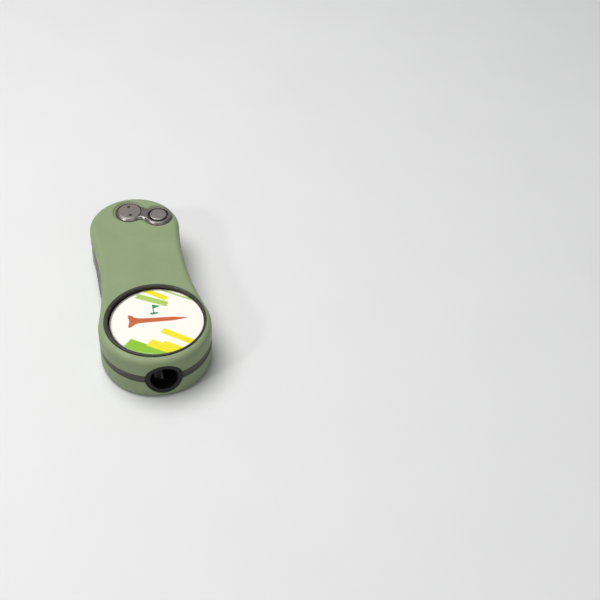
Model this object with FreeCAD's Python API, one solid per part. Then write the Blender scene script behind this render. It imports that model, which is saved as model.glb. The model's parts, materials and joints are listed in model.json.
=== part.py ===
import FreeCAD, Part
import math
import os

# Flip-fork divot repair tool. Millimetres, +Z up, lying on its back.
# Origin: centre of the whole object's footprint, on the surface that it lies on.
# +Y runs from the wide marker end to the narrow pivot end.

V = FreeCAD.Vector

# Plan outline: two round ends joined by two concave waist arcs
LENGTH = 70.6
BIG_R = 15.5
SMALL_R = 13.3
WAIST_R = 95.0
BIG_Y = BIG_R - LENGTH / 2
SMALL_Y = LENGTH / 2 - SMALL_R

# Thickness stack
TOTAL_Z = 14.0
MID_Z = TOTAL_Z / 2
COVER_TOP = 1.5
COVER_WALL = 1.4
COVER_FILLET = 1.7
BAND_INSET = 0.3
SLOT_LOW = 5.7
SLOT_HIGH = TOTAL_Z - SLOT_LOW
CORE_LOW = COVER_TOP
CORE_HIGH = TOTAL_Z - COVER_TOP
FLOOR = 0.8

# Fork and its pivot
PIVOT_X = -0.6
PIVOT_Y = BIG_Y + 48.3
FORK_THICK = 2.1
FORK_LOW = MID_Z - FORK_THICK / 2
FORK_HIGH = MID_Z + FORK_THICK / 2
FORK_REACH = 40.8
HUB_R = 6.0
FORK_LEFT = -12.5
FORK_RIGHT = 5.0
TINE_W = 3.4
CROTCH_Y = -14.5
TINE_BEND_Y = -27.0
TIP_R = 0.7
TIP_IN = 2.0
SHOULDER_DROP = 2.0
SHOULDER_LOW = 1.0
SHOULDER_R = 2.6
FORK_CHAMFER = 0.35
BUSH_R = 2.75
BARREL_R = 2.0
RUNNING = 0.05
SWEEP_R = 42.4
SIDE_GAP = 0.2
WASHER_R = 3.4
WASHER_T = FORK_LOW - SLOT_LOW - RUNNING

# Grooves in the hub's two faces: stop pin below, spring leg above
STOP_PIN_R = 0.6
STOP_TRACK_R = 4.3
STOP_ANGLE = -100.0
LEG_TRACK_R = 4.2
LEG_ANGLE = -80.0
GROOVE_DEPTH = 0.7
FORK_TRAVEL = 180.0

# Torsion spring round the barrel, above the hub
SPRING_WIRE_R = 0.3
SPRING_MEAN_R = 3.4
SPRING_TURNS = 3.0
SPRING_POCKET_R = 4.6
SPRING_POCKET_HIGH = TOTAL_Z - 2.3

# Barrel nut and spanner screw
HEAD_R = 3.45
HEAD_T = 0.95
HEAD_SINK = 0.05
SCREW_R = 1.25
SCREW_LOW = MID_Z - 1.0
SPANNER_HOLE_R = 0.47
SPANNER_PITCH = 3.9
BARREL_HEAD_R = 3.4

# Figure-eight plate
PLATE_RISE = 0.25
PLATE_TOP = TOTAL_Z + PLATE_RISE
PLATE_PIVOT_R = 4.3
PLATE_BUTTON_R = 4.25
PLATE_WAIST_R = 2.0
PLATE_BEVEL = 0.45
PLATE_RECESS_DEPTH = 0.35
PLATE_RECESS_GROW = 0.65

# Release button and plunger
BUTTON_X = 7.65
BUTTON_Y = BIG_Y + 45.0
BUTTON_R = 2.62
BUTTON_HOLE_R = 3.1
BUTTON_RISE = 0.45
BUTTON_TRAVEL = 1.0
FLANGE_R = 3.5
FLANGE_T = 0.9
PLUNGER_R = 2.8
PLUNGER_LOW = 4.9
PLUNGER_NECK_R = 1.8
SPIGOT_R = 1.2
BUTTON_SPRING_LOW = 2.3
BUTTON_WIRE_R = 0.2
BUTTON_SPRING_R = 1.9
BUTTON_TURNS = 3.0

# Marker, its seat and its magnet. The seat and the marker sit a little right of the ring's middle
MARKER_Y = BIG_Y + 0.7
RING_X = 0.2
RING_R = 14.0
RING_PROUD = 0.25
SEAT_X = 0.5
SEAT_R = 13.2
SEAT_LEAD = 0.4
SEAT_FLOOR = TOTAL_Z - 2.1
MARKER_X = 0.65
MARKER_R = 12.9
PRINT_X = 0.75
PRINT_R = 12.7
MARKER_BASE_T = 0.9
MARKER_RIM_T = 1.35
MARKER_BEVEL = 0.05
PRINT_T = 0.15
DOME_T = 0.4
MAGNET_R = 5.0
MAGNET_T = 1.5
MAGNET_HIGH = SEAT_FLOOR - 0.3
KEEPER_R = 5.3
KEEPER_T = 0.6

# Pencil sharpener: the socket's axis dips inwards by the cone's half angle,
# so the cone's lowest line is level and the blade lies flat under it
MOUTH_Y = BIG_Y - BIG_R
SHARP_ANGLE = 12.0
PENCIL_R = 3.65
MOUTH_R = 4.05
MOUTH_FLARE = 0.8
LAND_END = 3.4
COLLAR_R = 5.2
BLOCK_LEFT = -4.7
BLOCK_RIGHT = 6.3
BLOCK_FRONT = MOUTH_Y + 3.7
BLOCK_BACK = MOUTH_Y + 21.5
BLOCK_TOP = MID_Z + 3.6
BLOCK_END_TOP = MID_Z - 2.9
BLADE_FACE_Z = MID_Z - 4.0
BLADE_T = 0.5
BLADE_EDGE_X = -0.2
BLADE_FRONT = MOUTH_Y + 4.2
BLADE_BACK = MOUTH_Y + 20.3
CHIP_GAP = 2.0
WINDOW_LEFT = -5.0
WINDOW_RIGHT = 6.6
WINDOW_FRONT = MOUTH_Y + 3.9
WINDOW_BACK = MOUTH_Y + 21.3
WINDOW_CORNER = 1.2
BLADE_SCREW_X = 3.7
BLADE_SCREW_Y = MOUTH_Y + 12.3
BLADE_SCREW_R = 1.0
BLADE_SCREW_HEAD_R = 1.9
BLADE_SCREW_HEAD_T = 0.8

# Screws that hold the two core halves together
FRAME_SCREWS = [(-9.6, BIG_Y - 3.5), (9.6, BIG_Y - 3.5), (8.2, BIG_Y + 27.5)]
FRAME_SCREW_R = 1.0
FRAME_HEAD_R = 1.9
FRAME_HEAD_T = 1.1
FRAME_SCREW_TOP = MID_Z + 2.8

# Hollows that lighten the core halves, each side of a cross rib
HOLLOW_Y = (BIG_Y + 16.5, BIG_Y + 27.0, BIG_Y + 38.0)
HOLLOW_LEFT = -9.6
HOLLOW_RIGHT = 4.6
HOLLOW_RIB = 1.2
HOLLOW_CORNER = 1.5


def cylinder(radius, low, high, x=0.0, y=0.0):
    return Part.makeCylinder(radius, high - low, V(x, y, low))


def ring(outer, inner, low, high, x=0.0, y=0.0):
    return cylinder(outer, low, high, x, y).cut(cylinder(inner, low - 1, high + 1, x, y))


def block(x0, x1, y0, y1, z0, z1):
    return Part.makeBox(x1 - x0, y1 - y0, z1 - z0, V(x0, y0, z0))


def rounded_block(x0, x1, y0, y1, z0, z1, corner):
    body = block(x0, x1, y0, y1, z0, z1)
    upright = [e for e in body.Edges if abs(e.Vertexes[0].Z - e.Vertexes[1].Z) > 1e-6]
    return body.makeFillet(corner, upright)


def rim_edges(shape, z):
    """The edges of a shape that lie in the level plane at height z."""
    return [e for e in shape.Edges if all(abs(v.Z - z) < 1e-6 for v in e.Vertexes)
            and abs(e.CenterOfMass.z - z) < 1e-6]


def arc_about(centre, radius, start_angle, mid_angle, end_angle):
    """An arc through three angles in degrees about a centre, in the XY plane."""
    points = []
    for angle in (start_angle, mid_angle, end_angle):
        a = math.radians(angle)
        points.append(V(centre.x + radius * math.cos(a), centre.y + radius * math.sin(a), 0))
    return Part.Arc(*points).toShape()


def two_lobes(first, first_r, second, second_r, waist_r, offset):
    """Wire round two discs, joined on both sides by a concave arc that touches both.

    A positive offset grows the discs and shrinks the waist arcs by the same amount.
    """
    across = second - first
    gap = across.Length
    to_first = first_r + waist_r
    to_second = second_r + waist_r
    along = (to_first ** 2 - to_second ** 2 + gap ** 2) / (2 * gap)
    out = math.sqrt(to_first ** 2 - along ** 2)
    turn = math.degrees(math.atan2(across.y, across.x))
    near = math.degrees(math.atan2(out, along))
    far = math.degrees(math.atan2(out, gap - along))
    waist = waist_r - offset
    a = math.radians(turn)
    forward = V(math.cos(a), math.sin(a), 0)
    aside = V(-math.sin(a), math.cos(a), 0)
    one = first + forward * along + aside * out
    other = first + forward * along - aside * out
    edges = [
        arc_about(first, first_r + offset, turn + near, turn + 180, turn + 360 - near),
        arc_about(other, waist, turn + 180 - near, turn + 90 + (far - near) / 2, turn + far),
        arc_about(second, second_r + offset, turn + far - 180, turn, turn + 180 - far),
        arc_about(one, waist, turn - far, turn - 90 - (far - near) / 2, turn + near - 180),
    ]
    return Part.Wire(edges)


def outline(offset):
    """Plan outline of the whole tool, grown by offset."""
    return two_lobes(V(0, BIG_Y, 0), BIG_R, V(0, SMALL_Y, 0), SMALL_R, WAIST_R, offset)


def outline_solid(offset, low, high):
    face = Part.Face(outline(offset))
    face.translate(V(0, 0, low))
    return face.extrude(V(0, 0, high - low))


def mirrored(shape):
    """A shape turned upside down about the middle plane of the thickness."""
    return shape.mirror(V(0, 0, MID_Z), V(0, 0, 1))


def coil(mean_r, wire_r, low, high, turns, x, y):
    """A closed coil between two heights, wire axis half a wire inside each end."""
    height = high - low - 2 * wire_r
    helix = Part.makeHelix(height / turns, height, mean_r)
    helix.translate(V(x, y, low + wire_r))
    section = Part.Wire(Part.makeCircle(wire_r, V(x + mean_r, y, low + wire_r), V(0, 1, 0)))
    return Part.Wire(helix).makePipeShell([section], True, True)


def figure_eight(offset, low, high):
    """Prism round the pivot and the button with the plate's outline, grown by offset."""
    wire = two_lobes(V(PIVOT_X, PIVOT_Y, 0), PLATE_PIVOT_R, V(BUTTON_X, BUTTON_Y, 0), PLATE_BUTTON_R,
                     PLATE_WAIST_R, offset)
    face = Part.Face(wire)
    face.translate(V(0, 0, low))
    return face.extrude(V(0, 0, high - low))


def fork_sweep(low, high):
    """Space that the fork passes through while it swings, between two heights."""
    reach = cylinder(SWEEP_R, low, high, PIVOT_X, PIVOT_Y)
    spine = block(PIVOT_X + FORK_RIGHT + SIDE_GAP, 60, PIVOT_Y - 60, PIVOT_Y, low - 1, high + 1)
    hub = cylinder(HUB_R + 0.15, low, high, PIVOT_X, PIVOT_Y)
    return reach.cut(spine).fuse(hub)


def sharpener_axis():
    a = math.radians(SHARP_ANGLE)
    return V(0, math.cos(a), -math.sin(a))


def sharpener_hollow():
    """Flared mouth, straight land and cone, all on one tilted axis."""
    start = V(0, MOUTH_Y, MID_Z)
    axis = sharpener_axis()
    before = Part.makeCylinder(MOUTH_R, 2.0, start - axis * 2.0, axis)
    flare = Part.makeCone(MOUTH_R, PENCIL_R, MOUTH_FLARE, start, axis)
    land = Part.makeCylinder(PENCIL_R, LAND_END - MOUTH_FLARE, start + axis * MOUTH_FLARE, axis)
    tip_r = 0.35
    cone_length = (PENCIL_R - tip_r) / math.tan(math.radians(SHARP_ANGLE))
    cone = Part.makeCone(PENCIL_R, tip_r, cone_length, start + axis * LAND_END, axis)
    return before.fuse(flare).fuse(land).fuse(cone)


def sharpener_envelope():
    """Outer form of the sharpener insert: round collar at the wall, then a wedge."""
    collar = Part.makeCylinder(COLLAR_R, 8.0, V(0, BLOCK_FRONT - 8.0, MID_Z), V(0, 1, 0))
    collar = collar.common(outline_solid(0, 0, TOTAL_Z))
    inside = outline_solid(-COVER_WALL, BLOCK_TOP, TOTAL_Z)
    collar = collar.cut(inside)
    side = [
        V(BLOCK_LEFT, BLOCK_FRONT, BLADE_FACE_Z),
        V(BLOCK_LEFT, BLOCK_BACK, BLADE_FACE_Z),
        V(BLOCK_LEFT, BLOCK_BACK, BLOCK_END_TOP),
        V(BLOCK_LEFT, BLOCK_FRONT, BLOCK_TOP - 0.4),
    ]
    side.append(side[0])
    wedge = Part.Face(Part.makePolygon(side)).extrude(V(BLOCK_RIGHT - BLOCK_LEFT, 0, 0))
    return collar.fuse(wedge).removeSplitter()


def sharpener_body():
    body = sharpener_envelope().cut(sharpener_hollow())
    chips = block(BLADE_EDGE_X - CHIP_GAP, BLADE_EDGE_X, BLADE_FRONT + 0.4, BLADE_BACK - 2.5,
                  BLADE_FACE_Z - 0.1, BLADE_FACE_Z + 1.2)
    body = body.cut(chips)
    hole = cylinder(BLADE_SCREW_R, BLADE_FACE_Z - 1, BLADE_FACE_Z + 1.8, BLADE_SCREW_X, BLADE_SCREW_Y)
    return body.cut(hole)


def sharpener_blade():
    low = BLADE_FACE_Z - BLADE_T
    right = BLOCK_RIGHT - 0.1
    bevel = 0.9
    profile = [
        V(BLADE_EDGE_X, BLADE_FRONT, BLADE_FACE_Z),
        V(right, BLADE_FRONT, BLADE_FACE_Z),
        V(right, BLADE_FRONT, low),
        V(BLADE_EDGE_X + bevel, BLADE_FRONT, low),
    ]
    profile.append(profile[0])
    blade = Part.Face(Part.makePolygon(profile)).extrude(V(0, BLADE_BACK - BLADE_FRONT, 0))
    hole = cylinder(BLADE_SCREW_R, low - 1, BLADE_FACE_Z + 1, BLADE_SCREW_X, BLADE_SCREW_Y)
    return blade.cut(hole)


def blade_screw():
    head_high = BLADE_FACE_Z - BLADE_T
    head_low = head_high - BLADE_SCREW_HEAD_T
    head = cylinder(BLADE_SCREW_HEAD_R, head_low, head_high, BLADE_SCREW_X, BLADE_SCREW_Y)
    head = head.makeFillet(0.3, rim_edges(head, head_low))
    slot = block(-0.25, 0.25, -3, 3, head_low - 0.1, head_low + 0.4)
    slot.rotate(V(0, 0, 0), V(0, 0, 1), 35)
    slot.translate(V(BLADE_SCREW_X, BLADE_SCREW_Y, 0))
    shank = cylinder(BLADE_SCREW_R, head_high, BLADE_FACE_Z + 1.8, BLADE_SCREW_X, BLADE_SCREW_Y)
    return head.cut(slot).fuse(shank).removeSplitter()


def shavings_window(low, high):
    return rounded_block(WINDOW_LEFT, WINDOW_RIGHT, WINDOW_FRONT, WINDOW_BACK, low, high, WINDOW_CORNER)


def cover_shell():
    """Half cover with a soft top edge, open on its inner side."""
    shell = outline_solid(0, SLOT_HIGH, TOTAL_Z)
    shell = shell.makeFillet(COVER_FILLET, rim_edges(shell, TOTAL_Z))
    shell = shell.cut(outline_solid(-COVER_WALL, SLOT_HIGH - 1, CORE_HIGH))
    collar = Part.makeCylinder(COLLAR_R, 8.0, V(0, BLOCK_FRONT - 8.0, MID_Z), V(0, 1, 0))
    return shell.cut(collar)


def upper_cover():
    cover = cover_shell()
    cover = cover.cut(cylinder(RING_R, SLOT_HIGH, TOTAL_Z + 1, RING_X, MARKER_Y))
    cover = cover.cut(figure_eight(0, CORE_HIGH - 1, TOTAL_Z + 1))
    return cover.cut(figure_eight(PLATE_RECESS_GROW, TOTAL_Z - PLATE_RECESS_DEPTH, TOTAL_Z + 1))


def lower_cover():
    cover = mirrored(cover_shell())
    cover = cover.cut(cylinder(BARREL_HEAD_R + 0.1, -1, COVER_TOP + 1, PIVOT_X, PIVOT_Y))
    return cover.cut(shavings_window(-1, COVER_TOP + 1))


def core_half():
    """Solid upper core half, before any pocket is cut in it."""
    band = outline_solid(-BAND_INSET, MID_Z, SLOT_HIGH)
    core = outline_solid(-COVER_WALL, SLOT_HIGH, CORE_HIGH)
    return band.fuse(core).cut(fork_sweep(MID_Z - 1, SLOT_HIGH))


def core_hollows(low, high):
    """Rounded hollows each side of a cross rib, between two heights."""
    front = rounded_block(HOLLOW_LEFT, HOLLOW_RIGHT, HOLLOW_Y[0], HOLLOW_Y[1] - HOLLOW_RIB / 2,
                          low, high, HOLLOW_CORNER)
    rear = rounded_block(HOLLOW_LEFT, HOLLOW_RIGHT, HOLLOW_Y[1] + HOLLOW_RIB / 2, HOLLOW_Y[2],
                         low, high, HOLLOW_CORNER)
    return front.fuse(rear)


def upper_frame():
    frame = core_half()
    lip = cylinder(RING_R, CORE_HIGH, TOTAL_Z + RING_PROUD, RING_X, MARKER_Y)
    frame = frame.fuse(lip).removeSplitter()
    frame = frame.cut(cylinder(SEAT_R, SEAT_FLOOR, TOTAL_Z + 1, SEAT_X, MARKER_Y))
    lead_start = V(SEAT_X, MARKER_Y, TOTAL_Z + RING_PROUD - SEAT_LEAD / 2)
    lead_in = Part.makeCone(SEAT_R, SEAT_R + SEAT_LEAD, SEAT_LEAD, lead_start, V(0, 0, 1))
    frame = frame.cut(lead_in)
    frame = frame.cut(cylinder(BARREL_R, MID_Z, TOTAL_Z, PIVOT_X, PIVOT_Y))
    frame = frame.cut(cylinder(SPRING_POCKET_R, SLOT_HIGH - 1, SPRING_POCKET_HIGH, PIVOT_X, PIVOT_Y))
    frame = frame.cut(spring_leg_notch())
    frame = frame.cut(cylinder(PLUNGER_R + 0.07, MID_Z - 1, CORE_HIGH, BUTTON_X, BUTTON_Y))
    flange_floor = flange_low() - BUTTON_TRAVEL - 0.1
    frame = frame.cut(cylinder(FLANGE_R + 0.1, flange_floor, TOTAL_Z, BUTTON_X, BUTTON_Y))
    magnet_low = MAGNET_HIGH - MAGNET_T
    frame = frame.cut(cylinder(MAGNET_R, magnet_low - 1, MAGNET_HIGH, SEAT_X, MARKER_Y))
    frame = frame.cut(cylinder(KEEPER_R, MID_Z - 1, magnet_low, SEAT_X, MARKER_Y))
    frame = frame.cut(sharpener_envelope())
    for x, y in FRAME_SCREWS:
        frame = frame.cut(cylinder(FRAME_SCREW_R, MID_Z - 1, FRAME_SCREW_TOP, x, y))
    return frame.cut(core_hollows(SLOT_HIGH + FLOOR, TOTAL_Z))


def lower_frame():
    frame = mirrored(core_half())
    frame = frame.cut(cylinder(BARREL_R, 0, MID_Z, PIVOT_X, PIVOT_Y))
    frame = frame.cut(cylinder(PLUNGER_R + 0.07, BUTTON_SPRING_LOW, MID_Z + 1, BUTTON_X, BUTTON_Y))
    frame = frame.cut(stop_pin())
    frame = frame.cut(sharpener_envelope())
    frame = frame.cut(shavings_window(0, BLADE_FACE_Z))
    for x, y in FRAME_SCREWS:
        frame = frame.cut(cylinder(FRAME_SCREW_R, 0, MID_Z + 1, x, y))
        frame = frame.cut(cylinder(FRAME_HEAD_R + 0.1, 0, CORE_LOW + FRAME_HEAD_T, x, y))
    rear = rounded_block(HOLLOW_LEFT, HOLLOW_RIGHT, HOLLOW_Y[1] + HOLLOW_RIB / 2, HOLLOW_Y[2],
                         0, SLOT_LOW - FLOOR, HOLLOW_CORNER)
    return frame.cut(rear)


def polar(angle, radius):
    a = math.radians(angle)
    return V(PIVOT_X + radius * math.cos(a), PIVOT_Y + radius * math.sin(a), 0)


def arc_groove(track_r, half_width, start_angle, low, high):
    """Groove about the pivot that a fixed pin runs along for the whole swing."""
    extra = math.degrees(0.04 / track_r)
    face = Part.Wire([
        arc_about(V(PIVOT_X, PIVOT_Y, 0), track_r + half_width, start_angle - extra,
                  start_angle + FORK_TRAVEL / 2, start_angle + FORK_TRAVEL + extra),
        Part.makeLine(polar(start_angle + FORK_TRAVEL + extra, track_r + half_width),
                      polar(start_angle + FORK_TRAVEL + extra, track_r - half_width)),
        arc_about(V(PIVOT_X, PIVOT_Y, 0), track_r - half_width, start_angle + FORK_TRAVEL + extra,
                  start_angle + FORK_TRAVEL / 2, start_angle - extra),
        Part.makeLine(polar(start_angle - extra, track_r - half_width),
                      polar(start_angle - extra, track_r + half_width)),
    ])
    groove = Part.Face(face)
    groove.translate(V(0, 0, low))
    groove = groove.extrude(V(0, 0, high - low))
    for angle in (start_angle - extra, start_angle + FORK_TRAVEL + extra):
        end = polar(angle, track_r)
        groove = groove.fuse(cylinder(half_width, low, high, end.x, end.y))
    return groove.removeSplitter()


def fork_profile():
    """Plan outline of the folded fork, about the pivot at its own origin."""
    middle = (FORK_LEFT + FORK_RIGHT) / 2

    def mirror(point):
        return V(2 * middle - point.x, point.y, 0)

    # Outer edge: straight, then one large arc that runs smoothly into the round tip
    bend = V(FORK_LEFT, TINE_BEND_Y, 0)
    tip_centre = V(FORK_LEFT + TIP_IN, TIP_R - FORK_REACH, 0)
    drop = tip_centre.y - TINE_BEND_Y
    curve_r = (TIP_IN ** 2 + drop ** 2 - TIP_R ** 2) / (2 * (TIP_IN - TIP_R))
    curve_centre = bend + V(curve_r, 0, 0)
    outward = (tip_centre - curve_centre).normalize()
    tip_out = curve_centre + outward * curve_r
    half = math.atan2(outward.y, outward.x) + math.pi
    curve = curve_centre - V(math.cos(half / 2), math.sin(half / 2), 0) * curve_r
    tip = tip_centre + V(0, -TIP_R, 0)

    # Inner edge: the straight line that touches both the crotch arc and the tip
    crotch_r = middle - FORK_LEFT - TINE_W
    crotch_centre = V(middle, CROTCH_Y - crotch_r, 0)
    across = tip_centre - crotch_centre
    swing = math.atan2(across.y, across.x) - math.acos((crotch_r + TIP_R) / across.Length)
    normal = V(math.cos(swing), math.sin(swing), 0)
    crotch_in = crotch_centre + normal * crotch_r
    tip_in = tip_centre - normal * TIP_R

    shoulder = math.radians(180 + SHOULDER_DROP)
    start = V(HUB_R * math.cos(shoulder), HUB_R * math.sin(shoulder), 0)
    corner = V(FORK_LEFT, -SHOULDER_LOW, 0)
    hub_right = V(FORK_RIGHT, -math.sqrt(HUB_R ** 2 - FORK_RIGHT ** 2), 0)
    return Part.Wire([
        Part.makeLine(start, corner),
        Part.makeLine(corner, bend),
        Part.Arc(bend, curve, tip_out).toShape(),
        Part.Arc(tip_out, tip, tip_in).toShape(),
        Part.makeLine(tip_in, crotch_in),
        Part.Arc(crotch_in, V(middle, CROTCH_Y, 0), mirror(crotch_in)).toShape(),
        Part.makeLine(mirror(crotch_in), mirror(tip_in)),
        Part.Arc(mirror(tip_in), mirror(tip), mirror(tip_out)).toShape(),
        Part.Arc(mirror(tip_out), mirror(curve), mirror(bend)).toShape(),
        Part.makeLine(mirror(bend), hub_right),
        Part.Arc(hub_right, V(0, HUB_R, 0), start).toShape(),
    ])


def fork():
    face = Part.Face(fork_profile())
    face.translate(V(PIVOT_X, PIVOT_Y, FORK_LOW))
    plate = face.extrude(V(0, 0, FORK_THICK))
    corner_y = PIVOT_Y - SHOULDER_LOW
    corner = [e for e in plate.Edges if abs(e.CenterOfMass.x - PIVOT_X - FORK_LEFT) < 1e-4
              and abs(e.CenterOfMass.y - corner_y) < 1e-4]
    plate = plate.makeFillet(SHOULDER_R, corner)
    plate = plate.makeChamfer(FORK_CHAMFER, rim_edges(plate, FORK_LOW) + rim_edges(plate, FORK_HIGH))
    plate = plate.cut(cylinder(BUSH_R, 0, TOTAL_Z, PIVOT_X, PIVOT_Y))
    stop = arc_groove(STOP_TRACK_R, STOP_PIN_R + RUNNING, STOP_ANGLE, FORK_LOW - 1, FORK_LOW + GROOVE_DEPTH)
    leg = arc_groove(LEG_TRACK_R, SPRING_WIRE_R + 0.1, LEG_ANGLE, FORK_HIGH - GROOVE_DEPTH, FORK_HIGH + 1)
    return plate.cut(stop).cut(leg)


def fork_bushing():
    return ring(BUSH_R, BARREL_R + RUNNING, FORK_LOW, FORK_HIGH, PIVOT_X, PIVOT_Y)


def thrust_washer_lower():
    return ring(WASHER_R, BARREL_R + RUNNING, SLOT_LOW, SLOT_LOW + WASHER_T, PIVOT_X, PIVOT_Y)


def thrust_washer_upper():
    return mirrored(thrust_washer_lower())


def stop_pin():
    at = polar(STOP_ANGLE, STOP_TRACK_R)
    return cylinder(STOP_PIN_R, 3.2, FORK_LOW + GROOVE_DEPTH - 0.1, at.x, at.y)


def spring_leg_notch():
    """Radial notch in the upper core half that holds the spring's fixed end."""
    notch = block(0, SPRING_POCKET_R + 2.2, -SPRING_WIRE_R - 0.05, SPRING_WIRE_R + 0.05,
                  SPRING_POCKET_HIGH - 1.0, SPRING_POCKET_HIGH)
    notch.rotate(V(0, 0, 0), V(0, 0, 1), LEG_ANGLE)
    notch.translate(V(PIVOT_X, PIVOT_Y, 0))
    return notch


def fork_spring():
    """Torsion spring: three turns, one leg down into the hub's groove, one out to the core."""
    low = SLOT_HIGH + 0.02
    high = SPRING_POCKET_HIGH - 0.1
    turns = coil(SPRING_MEAN_R, SPRING_WIRE_R, low, high, SPRING_TURNS, 0, 0)
    out = LEG_TRACK_R - SPRING_MEAN_R
    foot_z = low + SPRING_WIRE_R
    toe = Part.makeCylinder(SPRING_WIRE_R, out, V(SPRING_MEAN_R, 0, foot_z), V(1, 0, 0))
    knee = Part.makeSphere(SPRING_WIRE_R, V(LEG_TRACK_R, 0, foot_z))
    leg = cylinder(SPRING_WIRE_R, FORK_HIGH - GROOVE_DEPTH + 0.1, foot_z, LEG_TRACK_R, 0)
    head_z = high - SPRING_WIRE_R
    tail = Part.makeCylinder(SPRING_WIRE_R, SPRING_POCKET_R + 2.0 - SPRING_MEAN_R,
                             V(SPRING_MEAN_R, 0, head_z), V(1, 0, 0))
    spring = turns.fuse(toe).fuse(knee).fuse(leg).fuse(tail)
    spring.rotate(V(0, 0, 0), V(0, 0, 1), LEG_ANGLE)
    spring.translate(V(PIVOT_X, PIVOT_Y, 0))
    return spring


def pivot_barrel():
    head = cylinder(BARREL_HEAD_R, 0.1, COVER_TOP, PIVOT_X, PIVOT_Y)
    head = head.makeChamfer(0.25, rim_edges(head, 0.1))
    slot = block(PIVOT_X - 5, PIVOT_X + 5, PIVOT_Y - 0.5, PIVOT_Y + 0.5, 0, 0.7)
    stem = cylinder(BARREL_R, COVER_TOP, CORE_HIGH, PIVOT_X, PIVOT_Y)
    barrel = head.cut(slot).fuse(stem).removeSplitter()
    return barrel.cut(cylinder(SCREW_R, SCREW_LOW - 0.6, TOTAL_Z, PIVOT_X, PIVOT_Y))


def pivot_screw():
    top = PLATE_TOP - HEAD_SINK
    head = cylinder(HEAD_R, top - HEAD_T, top, PIVOT_X, PIVOT_Y)
    head = head.makeFillet(0.2, rim_edges(head, top))
    for side in (-1, 1):
        hole_y = PIVOT_Y + side * SPANNER_PITCH / 2
        head = head.cut(cylinder(SPANNER_HOLE_R, top - 0.7, top + 1, PIVOT_X, hole_y))
    shank = cylinder(SCREW_R, SCREW_LOW, top - HEAD_T, PIVOT_X, PIVOT_Y)
    return head.fuse(shank).removeSplitter()


def lock_plate():
    plate = figure_eight(0, CORE_HIGH, PLATE_TOP)
    plate = plate.makeChamfer(PLATE_BEVEL, rim_edges(plate, PLATE_TOP))
    seat_low = PLATE_TOP - HEAD_SINK - HEAD_T
    plate = plate.cut(cylinder(HEAD_R + 0.15, seat_low, PLATE_TOP + 1, PIVOT_X, PIVOT_Y))
    plate = plate.cut(cylinder(SCREW_R + RUNNING, 0, PLATE_TOP, PIVOT_X, PIVOT_Y))
    return plate.cut(cylinder(BUTTON_HOLE_R, 0, PLATE_TOP + 1, BUTTON_X, BUTTON_Y))


def flange_low():
    return CORE_HIGH - RUNNING - FLANGE_T


def release_button():
    top = TOTAL_Z + BUTTON_RISE
    cap = cylinder(BUTTON_R, flange_low(), top, BUTTON_X, BUTTON_Y)
    cap = cap.makeFillet(0.35, rim_edges(cap, top))
    flange = cylinder(FLANGE_R, flange_low(), flange_low() + FLANGE_T, BUTTON_X, BUTTON_Y)
    socket = cylinder(SPIGOT_R, 0, flange_low() + 1.6, BUTTON_X, BUTTON_Y)
    return cap.fuse(flange).removeSplitter().cut(socket)


def lock_plunger():
    """Steel pin with a relieved neck above the fork's plane and a spigot for the button."""
    pin = cylinder(PLUNGER_R, PLUNGER_LOW, flange_low(), BUTTON_X, BUTTON_Y)
    neck = ring(PLUNGER_R + 1, PLUNGER_NECK_R, FORK_HIGH + 0.2, FORK_HIGH + 0.2 + BUTTON_TRAVEL,
                BUTTON_X, BUTTON_Y)
    spigot = cylinder(SPIGOT_R, flange_low(), flange_low() + 1.6, BUTTON_X, BUTTON_Y)
    return pin.cut(neck).fuse(spigot).removeSplitter()


def button_spring():
    return coil(BUTTON_SPRING_R, BUTTON_WIRE_R, BUTTON_SPRING_LOW, PLUNGER_LOW, BUTTON_TURNS,
                BUTTON_X, BUTTON_Y)


def marker_disc():
    """Metal marker: a flat base with a raised, bevelled rim round the print."""
    disc = cylinder(MARKER_R, SEAT_FLOOR, SEAT_FLOOR + MARKER_RIM_T, MARKER_X, MARKER_Y)
    disc = disc.makeChamfer(MARKER_BEVEL, rim_edges(disc, SEAT_FLOOR + MARKER_RIM_T))
    return disc.cut(cylinder(PRINT_R, SEAT_FLOOR + MARKER_BASE_T, TOTAL_Z, PRINT_X, MARKER_Y))


def marker_print():
    low = SEAT_FLOOR + MARKER_BASE_T
    return cylinder(PRINT_R, low, low + PRINT_T, PRINT_X, MARKER_Y)


def marker_dome():
    """Clear layer over the print, with a soft edge that stands level with the rim."""
    low = SEAT_FLOOR + MARKER_BASE_T + PRINT_T
    dome = cylinder(PRINT_R, low, low + DOME_T, PRINT_X, MARKER_Y)
    return dome.makeFillet(0.25, rim_edges(dome, low + DOME_T))


def marker_magnet():
    return cylinder(MAGNET_R, MAGNET_HIGH - MAGNET_T, MAGNET_HIGH, SEAT_X, MARKER_Y)


def magnet_keeper():
    high = MAGNET_HIGH - MAGNET_T
    return cylinder(KEEPER_R, high - KEEPER_T, high, SEAT_X, MARKER_Y)


def frame_screws():
    screws = []
    for x, y in FRAME_SCREWS:
        head_high = CORE_LOW + FRAME_HEAD_T
        head = cylinder(FRAME_HEAD_R, CORE_LOW + 0.1, head_high, x, y)
        slot = block(x - 3, x + 3, y - 0.25, y + 0.25, CORE_LOW, CORE_LOW + 0.5)
        shank = cylinder(FRAME_SCREW_R, head_high, FRAME_SCREW_TOP, x, y)
        screws.append(head.cut(slot).fuse(shank).removeSplitter())
    return Part.makeCompound(screws)


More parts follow.
